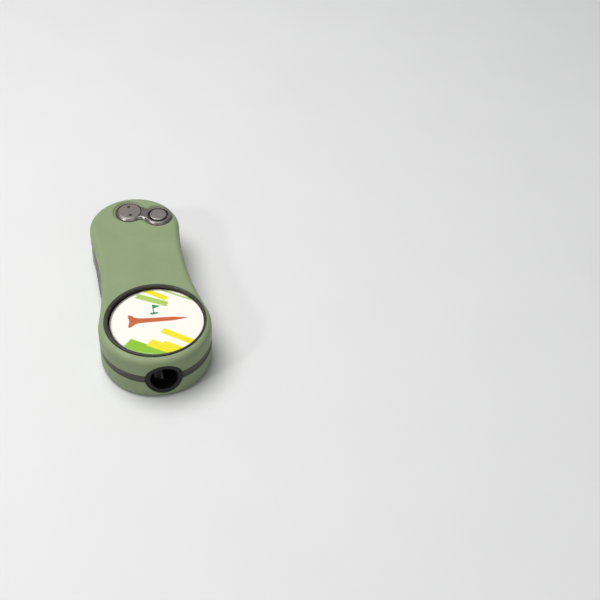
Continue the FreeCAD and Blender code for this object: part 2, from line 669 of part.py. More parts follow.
NODES = {
    "upper_cover": upper_cover,
    "lower_cover": lower_cover,
    "upper_frame": upper_frame,
    "lower_frame": lower_frame,
    "lock_plate": lock_plate,
    "pivot_screw": pivot_screw,
    "pivot_barrel": pivot_barrel,
    "thrust_washer_upper": thrust_washer_upper,
    "thrust_washer_lower": thrust_washer_lower,
    "fork_spring": fork_spring,
    "stop_pin": stop_pin,
    "fork": fork,
    "fork_bushing": fork_bushing,
    "release_button": release_button,
    "lock_plunger": lock_plunger,
    "button_spring": button_spring,
    "marker_disc": marker_disc,
    "marker_print": marker_print,
    "marker_dome": marker_dome,
    "marker_magnet": marker_magnet,
    "magnet_keeper": magnet_keeper,
    "sharpener_body": sharpener_body,
    "sharpener_blade": sharpener_blade,
    "blade_screw": blade_screw,
    "frame_screws": frame_screws,
}

os.makedirs("parts", exist_ok=True)
for name, make in NODES.items():
    shape = make()
    shape.exportStep("parts/" + name + ".step")
    box = shape.BoundBox
    print(name, len(shape.Solids), shape.isValid(), round(shape.Volume, 1),
          [round(v, 2) for v in (box.XMin, box.YMin, box.ZMin, box.XMax, box.YMax, box.ZMax)])
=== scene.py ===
import json
import math

import bmesh
import bpy
from mathutils import Matrix, Vector
from mathutils.geometry import delaunay_2d_cdt


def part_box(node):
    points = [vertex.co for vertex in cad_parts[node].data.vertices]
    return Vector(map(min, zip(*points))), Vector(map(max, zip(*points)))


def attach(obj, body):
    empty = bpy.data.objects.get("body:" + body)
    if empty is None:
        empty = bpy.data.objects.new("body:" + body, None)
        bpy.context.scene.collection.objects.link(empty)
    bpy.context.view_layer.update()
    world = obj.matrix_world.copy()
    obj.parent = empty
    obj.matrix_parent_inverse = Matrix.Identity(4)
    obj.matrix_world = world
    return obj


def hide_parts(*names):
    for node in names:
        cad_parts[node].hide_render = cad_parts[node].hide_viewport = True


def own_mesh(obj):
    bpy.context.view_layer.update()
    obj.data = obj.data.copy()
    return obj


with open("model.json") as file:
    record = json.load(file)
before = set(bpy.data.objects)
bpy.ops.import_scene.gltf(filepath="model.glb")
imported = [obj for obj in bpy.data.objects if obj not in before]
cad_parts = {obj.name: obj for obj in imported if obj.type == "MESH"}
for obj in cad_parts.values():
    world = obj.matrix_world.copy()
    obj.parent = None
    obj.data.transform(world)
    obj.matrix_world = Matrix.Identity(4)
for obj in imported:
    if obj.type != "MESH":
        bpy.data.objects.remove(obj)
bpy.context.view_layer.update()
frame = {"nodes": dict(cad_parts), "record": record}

MM = 0.001

# Camera, in millimetres of the row frame and degrees
CAMERA_PLACE = (-21.9, -237.6, 231.5)
CAMERA_AIM = (41.1, -19.3, 14.0)
CAMERA_ROLL = 3.43
CAMERA_LENS = 67.0


# ---------------------------------------------------------------- materials

def add_node(tree, kind, inputs=None, **settings):
    """A shader node with its settings, input values and input links given in one call."""
    node = tree.nodes.new(kind)
    for key, value in settings.items():
        setattr(node, key, value)
    for key, value in (inputs or {}).items():
        if isinstance(value, bpy.types.NodeSocket):
            tree.links.new(value, node.inputs[key])
        else:
            node.inputs[key].default_value = value
    return node


def new_material(name):
    material = bpy.data.materials.new(name)
    material.use_nodes = True
    tree = material.node_tree
    return material, tree, tree.nodes["Principled BSDF"]


def object_coords(tree, scale=(1, 1, 1)):
    coords = add_node(tree, "ShaderNodeTexCoord")
    mapping = add_node(tree, "ShaderNodeMapping", {"Vector": coords.outputs["Object"], "Scale": scale})
    return mapping.outputs["Vector"]


def noise(tree, vector, size_mm, detail=2.0, roughness=0.5):
    """Noise whose features are about size_mm across. Its output runs round 0.5."""
    node = add_node(tree, "ShaderNodeTexNoise", {"Vector": vector, "Scale": 1 / (size_mm * MM),
                                                 "Detail": detail, "Roughness": roughness})
    return node.outputs["Fac"]


def remap(tree, value, low, high, start=0.3, end=0.7):
    node = add_node(tree, "ShaderNodeMapRange", {"Value": value, "From Min": start, "From Max": end,
                                                 "To Min": low, "To Max": high})
    return node.outputs["Result"]


def mix_colours(tree, factor, first, second):
    node = add_node(tree, "ShaderNodeMix", data_type="RGBA")
    for socket, value in (("Factor_Float", factor), ("A_Color", first), ("B_Color", second)):
        target = next(s for s in node.inputs if s.identifier == socket)
        if isinstance(value, bpy.types.NodeSocket):
            tree.links.new(value, target)
        else:
            target.default_value = value if socket == "Factor_Float" else (*value, 1)
    return next(s for s in node.outputs if s.identifier == "Result_Color")


def set_bump(tree, shader, height, depth_mm, strength=1.0):
    bump = add_node(tree, "ShaderNodeBump",
                    {"Height": height, "Distance": depth_mm * MM, "Strength": strength})
    tree.links.new(bump.outputs["Normal"], shader.inputs["Normal"])


def shade(colour, factor):
    return tuple(min(1.0, c * factor) for c in colour)


def soft_touch(name, colour):
    """Matt rubbery paint: faint mottling, a very fine grain, smudges from handling and a little dust."""
    material, tree, shader = new_material(name)
    coords = object_coords(tree)
    mottle = remap(tree, noise(tree, coords, 9.0, 3.0), 0.0, 1.0)
    speck = remap(tree, noise(tree, coords, 0.16, 2.0), 0.0, 1.0)
    base = mix_colours(tree, mottle, shade(colour, 0.95), shade(colour, 1.05))
    base = mix_colours(tree, remap(tree, speck, 0.0, 0.35), base, shade(colour, 0.86))
    dust = remap(tree, noise(tree, coords, 0.5, 1.0), 0.0, 0.35, 0.74, 0.78)
    base = mix_colours(tree, dust, base, (0.45, 0.46, 0.40))
    tree.links.new(base, shader.inputs["Base Color"])
    smudge = add_node(tree, "ShaderNodeTexNoise", {"Vector": coords, "Scale": 1 / (5.0 * MM), "Detail": 4.0,
                                                   "Distortion": 1.5}).outputs["Fac"]
    tree.links.new(remap(tree, smudge, 0.44, 0.66, 0.35, 0.65), shader.inputs["Roughness"])
    shader.inputs["Sheen Weight"].default_value = 0.05
    shader.inputs["Specular IOR Level"].default_value = 0.35
    fine = noise(tree, coords, 0.12, 2.0)
    grain = add_node(tree, "ShaderNodeMath", {0: fine, 1: noise(tree, coords, 1.1, 2.0)})
    set_bump(tree, shader, grain.outputs["Value"], 0.014, 0.5)
    return material


def moulded_plastic(name, colour, rough=0.4, specular=0.5):
    material, tree, shader = new_material(name)
    coords = object_coords(tree)
    mottle = remap(tree, noise(tree, coords, 3.0), 0, 1)
    base = mix_colours(tree, mottle, shade(colour, 0.85), shade(colour, 1.2))
    tree.links.new(base, shader.inputs["Base Color"])
    gloss = remap(tree, noise(tree, coords, 1.5, 3.0), rough - 0.05, rough + 0.08)
    tree.links.new(gloss, shader.inputs["Roughness"])
    shader.inputs["Specular IOR Level"].default_value = specular
    set_bump(tree, shader, noise(tree, coords, 0.15, 2.0), 0.015, 0.5)
    return material


def metal(name, colour, rough, grain=(1, 1, 1), grain_mm=0.2, depth_mm=0.004, wear=0.5):
    """Metal with a fine grain, stretched along the axes where grain is small, and hairline scratches."""
    material, tree, shader = new_material(name)
    coords = object_coords(tree, grain)
    streak = noise(tree, coords, grain_mm, 3.0, 0.6)
    base = mix_colours(tree, remap(tree, streak, 0, 1), shade(colour, 0.90), shade(colour, 1.08))
    smudge = remap(tree, noise(tree, object_coords(tree), 2.5, 3.0), 0.0, 1.0)
    base = mix_colours(tree, smudge, base, shade(colour, 0.92))
    slanted = add_node(tree, "ShaderNodeMapping", {"Vector": object_coords(tree), "Scale": (0.03, 1, 1),
                                                   "Rotation": (0, 0, math.radians(24))}).outputs["Vector"]
    scratch = remap(tree, noise(tree, slanted, 0.14, 2.0), 0.0, wear, 0.62, 0.68)
    base = mix_colours(tree, scratch, base, shade(colour, 1.35))
    tree.links.new(base, shader.inputs["Base Color"])
    gloss = remap(tree, streak, rough - 0.06, rough + 0.08)
    gloss = add_node(tree, "ShaderNodeMath", {0: scratch, 1: 0.12, 2: gloss}, operation="MULTIPLY_ADD")
    tree.links.new(gloss.outputs["Value"], shader.inputs["Roughness"])
    shader.inputs["Metallic"].default_value = 1.0
    set_bump(tree, shader, streak, depth_mm, 0.6)
    return material


def printed(name, colour, streak=0.06):
    """Ink on a smooth face, with faint streaks along the slant of the brush strokes."""
    material, tree, shader = new_material(name)
    coords = add_node(tree, "ShaderNodeMapping", {"Vector": object_coords(tree), "Scale": (0.12, 1, 1),
                                                  "Rotation": (0, 0, math.radians(36))}).outputs["Vector"]
    streaks = remap(tree, noise(tree, coords, 0.35, 3.0), 0, 1)
    base = mix_colours(tree, streaks, shade(colour, 1 - streak), shade(colour, 1 + streak))
    tree.links.new(base, shader.inputs["Base Color"])
    tree.links.new(remap(tree, noise(tree, coords, 0.6), 0.30, 0.42), shader.inputs["Roughness"])
    return material


def clear_resin(name):
    """A clear skin: see-through head on, with a soft reflection that grows at a slant."""
    material, tree, shader = new_material(name)
    slant = add_node(tree, "ShaderNodeLayerWeight", {"Blend": 0.5}).outputs["Facing"]
    power = add_node(tree, "ShaderNodeMath", {0: slant, 1: 5.0}, operation="POWER").outputs["Value"]
    tree.links.new(remap(tree, power, 0.035, 0.8, 0.0, 1.0), shader.inputs["Alpha"])
    shader.inputs["Base Color"].default_value = (1, 1, 1, 1)
    shader.inputs["Metallic"].default_value = 1.0
    shader.inputs["Roughness"].default_value = 0.16
    return material


GREEN = (0.242, 0.309, 0.161)
SLOT_MATERIALS = {
    "soft_touch_green": soft_touch("soft_touch_green_look", GREEN),
    "black_plastic": moulded_plastic("black_plastic_look", (0.028, 0.027, 0.020), 0.38),
    "gunmetal": metal("gunmetal_look", (0.335, 0.303, 0.282), 0.46, grain_mm=0.12, wear=0.3),
    "fork_metal": metal("fork_metal_look", (0.42, 0.39, 0.37), 0.36, grain=(1, 0.03, 1), grain_mm=0.15),
    "steel": metal("steel_look", (0.55, 0.55, 0.56), 0.3),
    "blade_steel": metal("blade_steel_look", (0.70, 0.71, 0.73), 0.22, grain=(0.05, 1, 1), grain_mm=0.1),
    "spring_steel": metal("spring_steel_look", (0.45, 0.45, 0.47), 0.3),
    "bush_brass": metal("bush_brass_look", (0.75, 0.56, 0.25), 0.3),
    "marker_metal": metal("marker_metal_look", (0.42, 0.40, 0.38), 0.35, grain_mm=0.12),
    "marker_face": printed("marker_face_look", (0.94, 0.92, 0.88)),
    "clear_dome": clear_resin("clear_dome_look"),
    "magnet_nickel": metal("magnet_nickel_look", (0.62, 0.61, 0.58), 0.2),
}


# The plate is a little glossier than the other gunmetal parts
PLATE_LOOK = metal("plate_look", (0.345, 0.312, 0.292), 0.36, grain_mm=0.12, wear=0.35)
# Nodes that look a little different from the others in their slot
NODE_MATERIALS = {
    "sharpener_body": moulded_plastic("sharpener_look", (0.007, 0.007, 0.006), 0.5, 0.25),
}


def dress_cad_nodes():
    for row in frame["record"]["subparts"]:
        node = frame["nodes"][row["node"]]
        material = NODE_MATERIALS.get(row["node"], SLOT_MATERIALS[row["material_slot"]])
        for slot in node.material_slots:
            slot.material = material


# ---------------------------------------------------------------- plan shapes, in millimetres

class Disc:
    def __init__(self, centre, radius):
        self.centre = Vector(centre)
        self.radius = radius

    def distance(self, point):
        """Distance from the edge: positive outside, negative inside."""
        return (point - self.centre).length - self.radius

    def loop(self, offset=0.0, step=0.4):
        count = math.ceil(math.tau * self.radius / step)
        return arc(self.centre, self.radius + offset, 0, math.tau, count)


class RoundedBox:
    def __init__(self, low, high, corner):
        self.centre = (Vector(low) + Vector(high)) / 2
        self.half = (Vector(high) - Vector(low)) / 2 - Vector((corner, corner))
        self.corner = corner

    def distance(self, point):
        beyond = [abs(point[k] - self.centre[k]) - self.half[k] for k in (0, 1)]
        outside = math.hypot(max(beyond[0], 0), max(beyond[1], 0))
        return outside + min(max(beyond), 0) - self.corner

    def loop(self, offset=0.0, step=0.4):
        points = []
        for quarter, (sx, sy) in enumerate(((1, 1), (-1, 1), (-1, -1), (1, -1))):
            corner = self.centre + Vector((sx * self.half.x, sy * self.half.y))
            start = quarter * math.pi / 2
            points += arc(corner, self.corner + offset, start, start + math.pi / 2, 6)
        return spaced(points, step)


class Lobes:
    """Two discs joined on both sides by a concave arc that touches both."""

    def __init__(self, first, first_r, second, second_r, waist_r):
        self.first = Vector(first)
        self.second = Vector(second)
        self.first_r = first_r
        self.second_r = second_r
        self.waist_r = waist_r
        across = self.second - self.first
        self.gap = across.length
        self.turn = math.atan2(across.y, across.x)
        self.u = across / self.gap
        self.v = Vector((-self.u.y, self.u.x))
        to_first = first_r + waist_r
        to_second = second_r + waist_r
        self.along = (to_first ** 2 - to_second ** 2 + self.gap ** 2) / (2 * self.gap)
        self.out = math.sqrt(to_first ** 2 - self.along ** 2)

    def distance(self, point):
        rel = point - self.first
        a = rel.dot(self.u) - self.along
        b = abs(rel.dot(self.v)) - self.out
        past_first = a * self.out - b * self.along
        before_second = -a * self.out - b * (self.gap - self.along)
        if past_first > 0 and before_second > 0:
            return self.waist_r - math.hypot(a, b)
        if a < 0:
            return rel.length - self.first_r
        return (point - self.second).length - self.second_r

    def loop(self, offset=0.0, step=0.4, fine_end=0.0):
        """Points round the outline. fine_end is the half angle at the first disc's end with a finer step."""
        near = math.atan2(self.out, self.along)
        far = math.atan2(self.out, self.gap - self.along)
        low = self.first + self.u * self.along - self.v * self.out
        high = self.first + self.u * self.along + self.v * self.out
        first_r = self.first_r + offset
        second_r = self.second_r + offset
        waist_r = self.waist_r - offset
        arcs = [(self.first, first_r, near, math.pi - fine_end, step)]
        if fine_end:
            arcs.append((self.first, first_r, math.pi - fine_end, math.pi + fine_end, step / 4))
        arcs += [
            (self.first, first_r, math.pi + fine_end, math.tau - near, step),
            (low, waist_r, math.pi - near, far, step),
            (self.second, second_r, far - math.pi, math.pi - far, step),
            (high, waist_r, -far, near - math.pi, step),
        ]
        points = []
        for centre, radius, start, end, spacing in arcs:
            count = math.ceil(abs(end - start) * (radius - offset) / spacing)
            points += arc(centre, radius, start + self.turn, end + self.turn, max(count, 2))
        return points


def arc(centre, radius, start, end, count):
    """count points along an arc, without its last one."""
    turns = [start + (end - start) * k / count for k in range(count)]
    return [centre + Vector((math.cos(t), math.sin(t))) * radius for t in turns]


def spaced(points, step):
    """A closed loop with points added so that none are further apart than step."""
    result = []
    for here, there in zip(points, points[1:] + points[:1]):
        count = max(1, math.ceil((there - here).length / step))
        result += [here.lerp(there, k / count) for k in range(count)]
    return result


def inside(point, polygon):
    hit = False
    for a, b in zip(polygon, polygon[1:] + polygon[:1]):
        if (a.y > point.y) != (b.y > point.y):
            if point.x < a.x + (point.y - a.y) * (b.x - a.x) / (b.y - a.y):
                hit = not hit
    return hit


# ---------------------------------------------------------------- mesh helpers

def grid_points(low, high, step):
    column_count = int((high.x - low.x) / step)
    row_count = int((high.y - low.y) / step)
    return [Vector((low.x + (c + 0.5 * (r % 2)) * step, low.y + r * step))
            for r in range(row_count) for c in range(column_count)]


def cap(bm, loops, height, keep, extra=(), region=None):
    """Triangles between closed loops in plan, where keep says so. Their corners stand at height."""
    points = []
    edges = []
    for loop in loops:
        start = len(points)
        points += loop
        edges += [(start + k, start + (k + 1) % len(loop)) for k in range(len(loop))]
    points += [p for p in extra if keep(p)]
    places, _, faces, *_ = delaunay_2d_cdt(points, edges, [], 0, 1e-5)
    corners = [bm.verts.new(Vector((p.x, p.y, height(p))) * MM) for p in places]
    for face in faces:
        middle = sum((places[k] for k in face), Vector((0, 0))) / len(face)
        if keep(middle):
            made = bm.faces.new([corners[k] for k in face])
            made.material_index = region(middle) if region else 0


def rows(bm, loops):
    """Quads between closed loops of 3-D points, one loop after another, all with the same count."""
    made = [[bm.verts.new(p * MM) for p in loop] for loop in loops]
    for low, high in zip(made, made[1:]):
        for k in range(len(low)):
            after = (k + 1) % len(low)
            bm.faces.new((low[k], low[after], high[after], high[k]))


def lift(loop, height):
    """A plan loop at one height, or at the height that a function gives."""
    if callable(height):
        return [Vector((p.x, p.y, height(p))) for p in loop]
    return [Vector((p.x, p.y, height)) for p in loop]


def finish_piece(bm, name, body, replaced, materials, sharp=40, flip=False):
    if flip:
        bmesh.ops.scale(bm, vec=(1, 1, -1), verts=bm.verts)
        bmesh.ops.translate(bm, vec=(0, 0, TOTAL * MM), verts=bm.verts)
    bmesh.ops.remove_doubles(bm, verts=bm.verts, dist=2e-6)
    bmesh.ops.delete(bm, geom=[v for v in bm.verts if not v.link_faces], context="VERTS")
    bmesh.ops.recalc_face_normals(bm, faces=bm.faces)
    mesh = bpy.data.meshes.new(name)
    bm.to_mesh(mesh)
    bm.free()
    piece = bpy.data.objects.new(name, mesh)
    bpy.context.scene.collection.objects.link(piece)
    for material in materials:
        mesh.materials.append(material)
    mesh.shade_smooth()
    mesh.set_sharp_from_angle(angle=math.radians(sharp))
    weighted = piece.modifiers.new("weighted_normals", "WEIGHTED_NORMAL")
    weighted.keep_sharp = True
    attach(piece, body)
    if replaced:
        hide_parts(replaced)
    return piece


def drop(distance, radius):
    """How far a rounded edge has fallen at a distance from the edge."""
    if distance >= radius:
        return 0.0
    return radius - math.sqrt(radius ** 2 - (radius - max(distance, 0)) ** 2)


def smooth_step(value, start, end):
    t = min(max((value - start) / (end - start), 0), 1)
    return t * t * (3 - 2 * t)


# ---------------------------------------------------------------- sizes, read from the frame

def centre_of(node):
    low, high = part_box(node)
    return (low + high) / 2 / MM


def half_width(node):
    low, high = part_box(node)
    return (high.x - low.x) / 2 / MM


cover_low, cover_high = (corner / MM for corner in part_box("upper_cover"))
TOTAL = cover_high.z
COVER_EDGE = cover_low.z
MIDDLE = TOTAL / 2
CORE_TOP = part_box("lock_plate")[0].z / MM
BIG_R = cover_high.x
SMALL_R = 13.3
WAIST_R = 95.0
COVER_WALL = 1.4
COVER_FILLET = 1.7
COLLAR_R = 5.2
RING_R = 14.0
SEAT_R = 13.2
PLATE_R = (4.3, 4.25)
PLATE_WAIST_R = 2.0
PIVOT = centre_of("pivot_screw").xy
BUTTON = centre_of("release_button").xy
MARKER = centre_of("marker_disc").xy
RING = Vector((0.2, MARKER.y))
SEAT = Vector((0.5, MARKER.y))

BODY_PLAN = Lobes((0, cover_low.y + BIG_R), BIG_R, (0, cover_high.y - SMALL_R), SMALL_R, WAIST_R)
PLATE_PLAN = Lobes(PIVOT, PLATE_R[0], BUTTON, PLATE_R[1], PLATE_WAIST_R)


# ---------------------------------------------------------------- covers

EDGE_ROUND = 0.3
MOUTH_BLEND = 0.45
RECESS_GROW = 0.65
RECESS_DEPTH = 0.5
# How far the dip's slope reaches to each side of its outline
RECESS_IN = 0.35
RECESS_OUT = 0.25
OUTLINE_STEP = 0.4
# Half angle, in radians, of the finer points at the wide end, where the mouth is
FINE_END = 0.45
GRID_STEP = 0.9


def cover_edge(point):
    """Height of a cover's inner edge. It arches over the sharpener's collar at the wide end."""
    if point.y > BODY_PLAN.first.y or abs(point.x) >= COLLAR_R:
        return COVER_EDGE
    arch = MIDDLE + math.sqrt(COLLAR_R ** 2 - point.x ** 2)
    apart = arch - COVER_EDGE
    return COVER_EDGE + (apart + math.sqrt(apart ** 2 + MOUTH_BLEND ** 2) - MOUTH_BLEND) / 2


def make_cover(name, node, holes, recess=None, flip=False):
    """A closed soft-touch shell: filleted rim, wall, rounded edges at every opening."""
    def outline(offset):
        return BODY_PLAN.loop(offset, OUTLINE_STEP, fine_end=FINE_END)

    def height(point):
        depth = -BODY_PLAN.distance(point)
        z = TOTAL - drop(depth, COVER_FILLET)
        for hole in holes:
            z -= drop(hole.distance(point), EDGE_ROUND)
        if recess:
            edge = recess.distance(point)
            z -= RECESS_DEPTH * (1 - smooth_step(edge, RECESS_GROW - RECESS_IN, RECESS_GROW + RECESS_OUT))
        return z

    def keep(point):
        return BODY_PLAN.distance(point) < 0 and all(hole.distance(point) > 0 for hole in holes)

    def keep_ceiling(point):
        return BODY_PLAN.distance(point) < -COVER_WALL and all(hole.distance(point) > 0 for hole in holes)

    bm = bmesh.new()
    turns = [math.radians(t) for t in range(0, 91, 10)]
    loops = [outline(-COVER_FILLET * (1 - math.cos(t))) for t in turns]
    loops.append(outline(-COVER_FILLET - 0.1))
    for hole in holes:
        loops += [hole.loop(EDGE_ROUND * k) for k in (0, 0.1, 0.3, 0.6, 1.0, 1.3)]
    if recess:
        loops += [recess.loop(RECESS_GROW + k) for k in (-0.36, -0.26, -0.15, -0.05, 0.05, 0.15, 0.26)]
    grid = grid_points(cover_low.xy, cover_high.xy, GRID_STEP)
    inner = [p for p in grid if BODY_PLAN.distance(p) < -COVER_FILLET - 0.4
             and all(hole.distance(p) > EDGE_ROUND + 0.4 for hole in holes)]
    cap(bm, loops, height, keep, inner)

    wall_top = TOTAL - COVER_FILLET
    wall = []
    for share in (0, 0.25, 0.5, 0.75):
        wall.append(lift(outline(0), lambda p: wall_top + share * (cover_edge(p) + EDGE_ROUND - wall_top)))
    for t in range(0, 91, 18):
        a = math.radians(t)
        wall.append(lift(outline(-EDGE_ROUND * (1 - math.cos(a))),
                         lambda p: cover_edge(p) + EDGE_ROUND * (1 - math.sin(a))))
    wall.append(lift(outline(-COVER_WALL), cover_edge))
    wall.append(lift(outline(-COVER_WALL), CORE_TOP))
    rows(bm, wall)
    for hole in holes:
        rows(bm, [lift(hole.loop(0), height), lift(hole.loop(0), CORE_TOP)])
    cap(bm, [outline(-COVER_WALL)] + [hole.loop(0) for hole in holes], lambda p: CORE_TOP, keep_ceiling)
    return finish_piece(bm, name, "body", node, [SLOT_MATERIALS["soft_touch_green"]],
                        flip=flip)


def make_covers():
    ring = Disc(RING, RING_R)
    make_cover("soft_cover_top", "upper_cover", [ring, PLATE_PLAN], recess=PLATE_PLAN)
    barrel = Disc(centre_of("pivot_barrel").xy, half_width("pivot_barrel") + 0.1)
    make_cover("soft_cover_back", "lower_cover", [barrel, WINDOW], flip=True)


# The shavings window in the back cover
WINDOW = RoundedBox((-5.0, cover_low.y + 3.9), (6.6, cover_low.y + 21.3), 1.2)


# ---------------------------------------------------------------- metal plate and ring lip

PLATE_BEVEL = 0.56
PLATE_STEP = 0.2
SCREW_GAP = 0.15
BUTTON_HOLE_R = 3.1
LIP_POINTS = 290
LIP_SKIN = 0.01


def make_plate():
    low, high = (corner.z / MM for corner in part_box("lock_plate"))
    seat = Disc(PIVOT, half_width("pivot_screw") + SCREW_GAP)
    hole = Disc(BUTTON, BUTTON_HOLE_R)
    soft = 0.06

    def height(point):
        return high - drop(seat.distance(point), soft) - drop(hole.distance(point), soft)

    def keep(point):
        return PLATE_PLAN.distance(point) < 0 and seat.distance(point) > 0 and hole.distance(point) > 0

    def keep_top(point):
        return keep(point) and PLATE_PLAN.distance(point) < -PLATE_BEVEL

    profile = [(0, low), (0, high - 0.56), (-0.02, high - 0.50), (-0.07, high - 0.44), (-0.37, high - 0.10),
               (-0.42, high - 0.04), (-0.49, high - 0.01), (-PLATE_BEVEL, high)]
    bm = bmesh.new()
    rows(bm, [lift(PLATE_PLAN.loop(offset, PLATE_STEP), z) for offset, z in profile])
    holes = [h.loop(k * soft, PLATE_STEP) for h in (seat, hole) for k in (0, 0.4, 1.0)]
    cap(bm, [PLATE_PLAN.loop(-PLATE_BEVEL, PLATE_STEP)] + holes, height, keep_top)
    cap(bm, [shape.loop(0, PLATE_STEP) for shape in (PLATE_PLAN, seat, hole)], lambda p: low, keep)
    for h in (seat, hole):
        rows(bm, [lift(h.loop(0, PLATE_STEP), height), lift(h.loop(0, PLATE_STEP), low)])
    finish_piece(bm, "figure_eight_plate", "body", "lock_plate", [PLATE_LOOK])


def make_ring_lip():
    """A skin over the frame's lip round the marker, with its edges softened."""
    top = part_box("upper_frame")[1].z / MM
    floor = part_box("marker_disc")[0].z / MM
    skin = LIP_SKIN
    outer = [(-0.3, CORE_TOP), (-skin, CORE_TOP), (-skin, top - 0.22), (-0.05, top - 0.10),
             (-0.12, top - 0.02), (-0.20, top + skin)]
    inner = [(0.28, top + skin), (0.18, top - 0.04), (0.09, top - 0.14), (0.02, top - 0.30),
             (-skin, top - 0.50), (-skin, floor + 0.01), (0.1, floor + 0.01)]
    loops = [lift(arc(RING, RING_R + offset, 0, math.tau, LIP_POINTS), z) for offset, z in outer]
    loops += [lift(arc(SEAT, SEAT_R + offset, 0, math.tau, LIP_POINTS), z) for offset, z in inner]
    bm = bmesh.new()
    rows(bm, loops + loops[:1])
    finish_piece(bm, "marker_ring_lip", "body", None, [SLOT_MATERIALS["black_plastic"]])


# ---------------------------------------------------------------- marker

PRINT_COLOURS = {
    "white": (0.94, 0.90, 0.82),
    "yellow": (0.87, 0.755, 0.004),
    "leaf": (0.26, 0.54, 0.016),
    "lime": (0.41, 0.61, 0.12),
    "teal": (0.007, 0.30, 0.10),
    "rust": (0.56, 0.12, 0.025),
}
# Plain slanted brush strokes, in millimetres: colour, start and end from the artwork's origin, width
STROKES = [
    ("lime", (-3.4, 11.3), (4.5, 6.5), 1.9),
    ("yellow", (-0.9, 13.3), (4.7, 8.6), 1.7),
    ("lime", (3.4, 12.8), (11.4, 7.0), 0.6),
    ("leaf", (-8.87, -6.85), (1.03, -14.05), 5.0),
    ("yellow", (-2.5, -7.3), (6.3, -13.6), 2.8),
    ("yellow", (1.3, -8.1), (8.2, -13.1), 1.5),
    ("yellow", (1.5, -3.3), (11.0, -11.0), 2.0),
]
BRISTLE = 0.42


def brush_stroke(start, end, width):
    """A straight band whose two ends are ragged, as a broad brush leaves them."""
    start = Vector(start)
    end = Vector(end)
    along = (end - start).normalized()
    across = Vector((-along.y, along.x))
    count = max(2, round(width / BRISTLE))
    heads = []
    tails = []
    for k in range(count + 1):
        aside = across * width * (k / count - 0.5)
        ragged = 0.28 * math.sin(2.7 * k + start.x) + 0.18 * math.sin(5.9 * k + start.y)
        heads.append(start + aside + along * ragged)
        tails.append(end + aside - along * ragged * 0.8)
    return spaced(heads + list(reversed(tails)), 0.4)


def tee_outline():
    """A golf tee lying on its side, head to the left."""
    half = [(0.0, 2.3), (0.6, 2.45), (1.1, 2.15), (1.9, 1.4), (3.1, 0.98), (5.0, 0.84), (12.5, 0.72),
            (16.6, 0.06)]
    outline = [Vector(p) for p in half] + [Vector((x, -y)) for x, y in reversed(half)]
    outline.append(Vector((0.45, 0.0)))
    slope = math.radians(-5.5)
    turned = [Vector((p.x * math.cos(slope) - p.y * math.sin(slope),
                      p.x * math.sin(slope) + p.y * math.cos(slope))) for p in outline]
    return [p + Vector((-7.2, 1.7)) for p in turned]


def flag_outlines():
    pole = [Vector(p) for p in ((0.2, 3.6), (0.48, 3.6), (0.48, 7.0), (0.2, 7.0))]
    flag = [Vector(p) for p in ((0.48, 7.0), (2.5, 6.2), (0.48, 5.4))]
    hole = [Vector((0.34 + 1.25 * math.cos(t * math.tau / 24), 3.55 + 0.42 * math.sin(t * math.tau / 24)))
            for t in range(24)]
    return [pole, flag, hole]


PRINT_PLACE = centre_of("marker_print").xy
ARTWORK = Vector((0, PRINT_PLACE.y))
PRINT_R = half_width("marker_print")
RIM_POINTS = 280


def make_marker_rim():
    """The marker's metal tray. Its rim is wider on the left, where the print sits off centre."""
    low, high = (corner.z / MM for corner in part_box("marker_disc"))
    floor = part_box("marker_print")[0].z / MM
    tray = Disc(MARKER, half_width("marker_disc"))
    pocket = Disc(PRINT_PLACE, PRINT_R + 0.005)
    bm = bmesh.new()
    outer = [(-0.25, low), (-0.06, low + 0.06), (0, low + 0.22), (0, high - 0.10), (-0.03, high - 0.02)]
    loops = [lift(arc(tray.centre, tray.radius + offset, 0, math.tau, RIM_POINTS), z) for offset, z in outer]
    pocket_edge = arc(pocket.centre, pocket.radius, 0, math.tau, RIM_POINTS)
    loops += [lift(pocket_edge, z) for z in (high, high - 0.08, floor)]
    rows(bm, loops)
    cap(bm, [pocket_edge], lambda p: floor, lambda p: pocket.distance(p) < 0)
    base = Disc(MARKER, tray.radius - 0.25)
    rings = [base.loop(-k, 0.5) for k in (0.8, 1.0, 1.2, 9.0)]

    def underside(point):
        return low + 0.06 * (1 - smooth_step(abs(base.distance(point) + 1.0), 0.0, 0.2))

    base_edge = arc(base.centre, base.radius, 0, math.tau, RIM_POINTS)
    cap(bm, [base_edge] + rings, underside, lambda p: base.distance(p) < 0)
    finish_piece(bm, "marker_tray", "marker", "marker_disc",
                 [SLOT_MATERIALS["marker_metal"]])


def make_print():
    low, high = (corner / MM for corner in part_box("marker_print"))
    sheet = Disc(PRINT_PLACE, PRINT_R)
    names = list(PRINT_COLOURS)
    regions = [(names.index(colour), [p + ARTWORK for p in brush_stroke(*stroke)])
               for colour, *stroke in STROKES]
    regions.append((names.index("rust"), [p + ARTWORK for p in tee_outline()]))
    regions += [(names.index("teal"), [p + ARTWORK for p in outline]) for outline in flag_outlines()]

    def region(point):
        found = [index for index, outline in regions if inside(point, outline)]
        return found[-1] if found else 0

    def keep(point):
        return sheet.distance(point) < 0

    face_z = high.z - 0.02
    bm = bmesh.new()
    cap(bm, [sheet.loop(0), sheet.loop(-0.05)] + [outline for _, outline in regions], lambda p: face_z, keep,
        region=region)
    rows(bm, [lift(sheet.loop(0), face_z), lift(sheet.loop(0), low.z)])
    cap(bm, [sheet.loop(0)], lambda p: low.z, keep)
    materials = [printed("print_" + name, colour, 0.02 if name == "white" else 0.07)
                 for name, colour in PRINT_COLOURS.items()]
    finish_piece(bm, "printed_face", "marker", "marker_print", materials)


